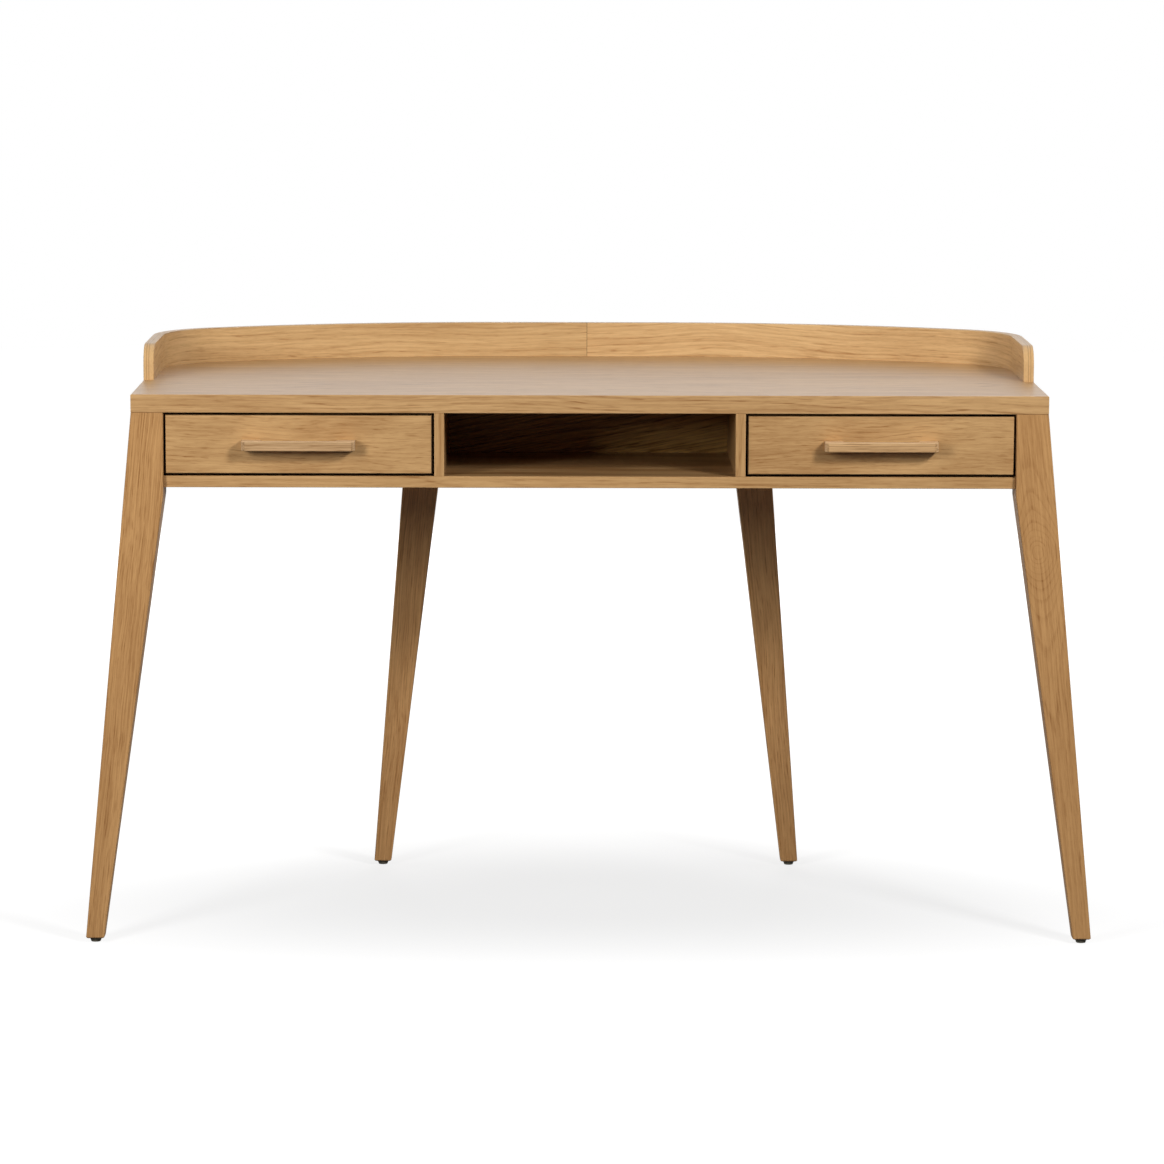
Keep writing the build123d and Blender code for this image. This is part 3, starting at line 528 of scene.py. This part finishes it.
BACK_PANEL_SEED = 8.0
BACK_PANEL_FIGURE = dict(heart=(1.0, 0.06, 0.02), tilt=0.06)
DRAWER_CUT = dict(tilt=0.05, wander=0.028, figure=0.14, fibre=0.8, short=1.8, patch=1.1)
DRAWER_FIGURE = {
    "left": dict(seed=5.1, heart=(0.5, 0.065, 0.02), slant=0.7, **DRAWER_CUT),
    "right": dict(seed=8.3, heart=(0.55, -0.065, 0.02), slant=0.4, **DRAWER_CUT),
}
HANDLE_SEED = 3.0
HANDLE_FIGURE = dict(heart=(0.4, 0.05, 0.0225), ring=0.003, wander=0.004, figure=0.5, fibre=1.5)

show(oak("desktop oak", X, Y, (0, 0, UNDERSIDE), **DESKTOP_FIGURE), "desktop")
show(oak("bottom panel oak", X, Y, (0, 0, BOTTOM_PANEL_Z), **BOTTOM_FIGURE), "bottom_panel")
rising = Vector((math.cos(CENTRE_BACK_SLANT), 0, math.sin(CENTRE_BACK_SLANT)))
upward = Y.cross(rising) * -1
spot = (0, CENTRE_BACK_Y, PANEL_Z)
show(oak("centre back panel oak", rising, upward, spot, **CENTRE_BACK_FIGURE), "back_panel_centre")

# The runners are black so the gaps round the drawers read dark: a black coat runners can have, chosen as
# painted shade.
steel = metal("runner black steel", (52, 52, 54), (38, 38, 40), 0.30)
zinc = metal("screw zinc", (206, 206, 200), (180, 180, 176), 0.24)
cleat_beech = sanded("cleat beech", BEECH, X, Z, (0.3, 0.1, 0))
dowel_beech = sanded("dowel beech", BEECH, X, Z, (0, 0, 0))
show(cleat_beech, "rear_rail", "top_cleat_left", "top_cleat_centre", "top_cleat_right")
show(dowel_beech, "case_dowels", "left_drawer_dowels", "right_drawer_dowels")
show(glide_plastic(), "foot_glides")
show(metal("bolt black steel", (44, 43, 42), (30, 29, 29), 0.40), "rear_leg_bolts")
show(metal("insert brass", (214, 178, 98), (178, 140, 70), 0.26, X, Z), "rear_leg_inserts")
show(metal("cam zinc", (168, 170, 172), (138, 140, 143), 0.36), "cam_locks", "cam_bolts")
show(zinc, "cleat_screws", "gallery_screws", "cabinet_rail_screws")

for side, sign in (("left", -1), ("right", 1)):
    show(gallery_oak(side, GALLERY_START[side]), "gallery_rail_" + side)
    for leg, (foot_x, foot_y) in (("front_leg_", FRONT_FOOT), ("rear_leg_", REAR_FOOT)):
        foot = Vector((sign * foot_x, foot_y, 0))
        along, across = leg_grain(leg + side, foot)
        label = leg.replace("_", " ") + side + " oak"
        show(oak(label, along, across, foot, **LEG_FIGURE[leg + side]), leg + side)
    spot = (sign * DIVIDER_X, 0, DIVIDER_Z)
    looks = DIVIDER_FIGURE | dict(seed=DIVIDER_SEED + sign)
    show(oak("divider oak " + side, Z, X, spot, **looks), "divider_" + side)
    spot = (sign * SIDE_PANEL_X, 0, PANEL_Z)
    looks = SIDE_PANEL_FIGURE | dict(seed=SIDE_PANEL_SEED + sign)
    show(oak("side panel oak " + side, Y, Z, spot, **looks), "side_panel_" + side)
    spot = (sign * BAY_X, 0, PANEL_Z)
    looks = BACK_PANEL_FIGURE | dict(seed=BACK_PANEL_SEED + sign)
    show(oak("back panel oak " + side, X, Z, spot, **looks), "back_panel_" + side)

    drawer = side + "_drawer_"
    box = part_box(drawer + "front")
    rim = half_board(*box), (sign * GAP_SHADE_SHIFT[0], GAP_SHADE_SHIFT[1], 0)
    looks = DRAWER_FIGURE[side] | dict(rim=rim)
    show(oak("drawer front oak " + side, X, Z, middle(*box), **looks), drawer + "front")
    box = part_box(drawer + "handle")
    looks = HANDLE_FIGURE | dict(seed=HANDLE_SEED + sign, tones=HANDLE_TONES[side], rubbed=half_board(*box))
    show(oak("handle oak " + side, X, Z, middle(*box), **looks), drawer + "handle")
    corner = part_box(drawer + "back")[0]
    show(sanded("drawer back birch " + side, BIRCH, X, Z, corner, ply=WALL_PLY), drawer + "back")
    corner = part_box(drawer + "bottom")[0]
    show(sanded("drawer bottom birch " + side, BIRCH, X, Y, corner, ply=BOTTOM_PLY), drawer + "bottom")
    for wall in ("left", "right"):
        name = drawer + wall + "_side"
        label = side + " drawer " + wall + " side birch"
        show(sanded(label, BIRCH, Y, Z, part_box(name)[0], ply=WALL_PLY), name)
        show(steel, *[drawer + wall + rail for rail in ("_cabinet_rail", "_middle_rail", "_drawer_rail")])
    show(zinc, drawer + "handle_screws", drawer + "runner_screws")


# Floor, in metres, and how white it reads: least in an oval under the desk, a painted shadow on top of the
# real one, full white further out. The oval narrows towards the back.
FLOOR_RADIUS = 9
FLOOR_DROP = 0.0006
SHADE_BREADTH = 0.56
SHADE_NARROWING = 0.5
SHADE_LEAST_BREADTH = 0.3
SHADE_MIDDLE_Y = -0.03
SHADE_DEPTH = 0.345
SHADE_START = 0.3
SHADE_END = 2.3
SHADED_WHITE = 0.69
MIRRORED_WHITE = 0.12
PAPER_GREY = (0.20, 0.20, 0.20, 1)
BOUNCED_GREY = (0.09, 0.09, 0.09, 1)
WHITE = (1, 1, 1, 1)

# White sweep behind the desk in reflections: where it starts and ends, and how bright the room before it is.
SWEEP_START = -0.2
SWEEP_END = 0.3
ROOM_BEFORE = 0.08
DESK_MIDDLE = (0, 0, 0.6)


def softbox(name, spot, aim, width, height, watts):
    """Rectangular lamp that reflections don't show."""
    lamp = bpy.data.lights.new(name, "AREA")
    lamp.shape = "RECTANGLE"
    lamp.size = width
    lamp.size_y = height
    lamp.energy = watts
    holder = bpy.data.objects.new(name, lamp)
    holder.visible_glossy = False
    holder.location = spot
    holder.rotation_euler = (Vector(aim) - Vector(spot)).to_track_quat("-Z", "Y").to_euler()
    bpy.context.scene.collection.objects.link(holder)


def white_floor():
    """Pale floor that reads as white paper, takes the desk's real shadow, and has a painted shadow in an oval
    under the desk.
    """
    bpy.ops.object.select_all(action="DESELECT")
    spot = (0, 0, -FLOOR_DROP)
    bpy.ops.mesh.primitive_circle_add(vertices=96, radius=FLOOR_RADIUS, fill_type="NGON", location=spot)
    floor = bpy.context.object
    floor.name = "studio_floor"
    material = bpy.data.materials.new("floor paper")
    material.use_nodes = True
    tree = material.node_tree
    tree.nodes.remove(tree.nodes["Principled BSDF"])
    out = tree.nodes["Material Output"].inputs["Surface"]
    x, y, _ = parted(tree, tree.nodes.new("ShaderNodeTexCoord").outputs["Object"])
    breadth = sums(tree, "MULTIPLY_ADD", y, -SHADE_NARROWING, SHADE_BREADTH)
    breadth = sums(tree, "MAXIMUM", breadth, SHADE_LEAST_BREADTH)
    off_x = sums(tree, "DIVIDE", x, breadth)
    off_y = sums(tree, "DIVIDE", sums(tree, "ADD", y, -SHADE_MIDDLE_Y), SHADE_DEPTH)
    away = points(tree, "LENGTH", joined(tree, off_x, off_y, 0.0))
    # Painted shadow: the floor's light is lowered in an oval under the desk.
    painted_shadow_glow = ramp(tree, away, SHADE_START, SHADE_END, SHADED_WHITE, 1.0)
    path = tree.nodes.new("ShaderNodeLightPath").outputs
    seen = sums(tree, "MAXIMUM", path["Is Camera Ray"], path["Is Transmission Ray"])
    seen = sums(tree, "MAXIMUM", seen, sums(tree, "MULTIPLY", path["Is Glossy Ray"], MIRRORED_WHITE))
    light = add(tree, "ShaderNodeEmission", {"Color": WHITE, "Strength": sums(tree, "MULTIPLY", painted_shadow_glow, seen)})
    bounced = sums(tree, "MAXIMUM", path["Is Diffuse Ray"], path["Is Glossy Ray"])
    paper = add(tree, "ShaderNodeBsdfDiffuse", {"Color": mingle(tree, bounced, PAPER_GREY, BOUNCED_GREY)})
    both = add(tree, "ShaderNodeAddShader", {0: light.outputs[0], 1: paper.outputs[0]}).outputs[0]
    clear = tree.nodes.new("ShaderNodeBsdfTransparent").outputs[0]
    under = tree.nodes.new("ShaderNodeNewGeometry").outputs["Backfacing"]
    put(tree, out, add(tree, "ShaderNodeMixShader", {0: under, 1: both, 2: clear}).outputs[0])
    floor.data.materials.append(material)


def white_room():
    """White all round for the camera, a white sweep behind for reflections, and no light on anything else."""
    world = bpy.data.worlds.new("white room")
    bpy.context.scene.world = world
    world.use_nodes = True
    tree = world.node_tree
    path = tree.nodes.new("ShaderNodeLightPath").outputs
    toward = tree.nodes.new("ShaderNodeTexCoord").outputs["Generated"]
    sweep = ramp(tree, parted(tree, toward)["Y"], SWEEP_START, SWEEP_END, ROOM_BEFORE, 1.0)
    seen = sums(tree, "MAXIMUM", path["Is Camera Ray"], path["Is Transmission Ray"])
    strength = choose(tree, seen, choose(tree, path["Is Glossy Ray"], 0.0, sweep), 1.0)
    put(tree, tree.nodes["Background"].inputs["Color"], WHITE)
    put(tree, tree.nodes["Background"].inputs["Strength"], strength)


def stand_camera():
    """Camera fitted to the photograph: turned to the right, pitched down and leaning a little."""
    lens = bpy.data.cameras.new("photograph")
    lens.lens = CAMERA_LENS
    lens.sensor_width = SENSOR_WIDTH
    lens.clip_end = FAR_LIMIT
    camera = bpy.data.objects.new("photograph", lens)
    turn = Matrix.Rotation(math.radians(-CAMERA_RIGHT), 4, "Z")
    nod = Matrix.Rotation(math.radians(90 - CAMERA_DOWN), 4, "X")
    lean = Matrix.Rotation(math.radians(CAMERA_LEAN), 4, "Z")
    camera.matrix_world = Matrix.Translation(CAMERA_PLACE) @ turn @ nod @ lean
    bpy.context.scene.collection.objects.link(camera)
    bpy.context.scene.camera = camera


white_floor()
white_room()
stand_camera()
# Lamps: where they stand and aim, their width and height in metres, and their watts.
softbox("left softbox", (-2.45, -3.24, 2.5), DESK_MIDDLE, 1.2, 1.2, 48)
softbox("right softbox", (2.63, -3.27, 2.92), DESK_MIDDLE, 0.8, 0.8, 126)
softbox("near left softbox", (-1.70, -2.05, 1.22), DESK_MIDDLE, 0.5, 0.5, 22)
softbox("near right softbox", (1.32, -2.22, 1.70), DESK_MIDDLE, 0.5, 0.5, 9)
softbox("overhead softbox", (0, 0, 3.4), (0, 0, 0.7), 2.4, 1.8, 8)
softbox("back softbox", (0, 4.2, 1.0), (0, 0, 0.5), 2.5, 1.2, 110)
softbox("left side softbox", (-2.7, 0.6, 0.6), (-0.5, 0.1, 0.5), 1.6, 0.6, 12)
softbox("right side softbox", (2.7, 0.6, 0.6), (0.5, 0.1, 0.5), 1.6, 0.6, 12)
bpy.context.scene.view_settings.view_transform = "Standard"
